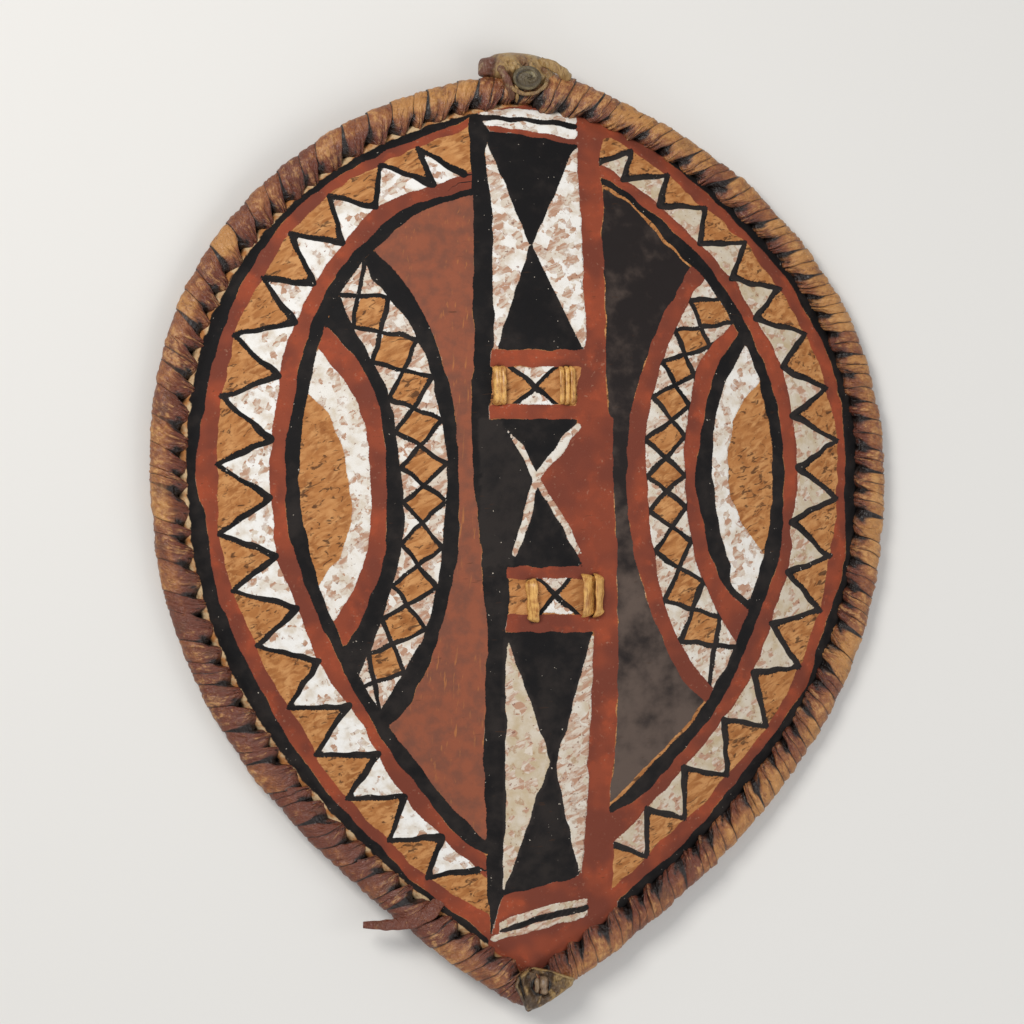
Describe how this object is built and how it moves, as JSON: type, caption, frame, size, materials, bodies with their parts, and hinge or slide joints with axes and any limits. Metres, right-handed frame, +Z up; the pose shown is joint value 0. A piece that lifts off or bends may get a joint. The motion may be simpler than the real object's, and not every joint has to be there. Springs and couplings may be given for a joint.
{
  "type": "hide shield",
  "caption": "Domed, pointed oval shield of stiff painted hide with a bound leather rim and a wooden grip stave lashed behind it.",
  "frame": {"origin": "on the surface that the shield lies on, under the middle of its bounding box", "axes": "+Z up, out of the painted face; +Y along the shield from its lower point to its upper end; +X to the right of the painted face"},
  "size_m": [0.6704, 0.861, 0.1076],
  "materials": {
    "painted_hide": "matte earth paint, flaking and scratched",
    "rim_leather": "worn soft leather, slightly greasy",
    "stave_wood": "hand polished",
    "rawhide_thong": "hard, half glossy rawhide",
    "cap_leather": "dry, dirty leather"
  },
  "bodies": {
    "root": {"hide_shell": "painted_hide", "rim_binding": "rim_leather", "grip_stave": "stave_wood", "upper_grip_lashing": "rawhide_thong", "lower_grip_lashing": "rawhide_thong", "upper_end_cap": "cap_leather", "upper_end_knot": "cap_leather", "lower_end_patch": "cap_leather", "lower_end_knot": "rawhide_thong"}
  },
  "joints": []
}
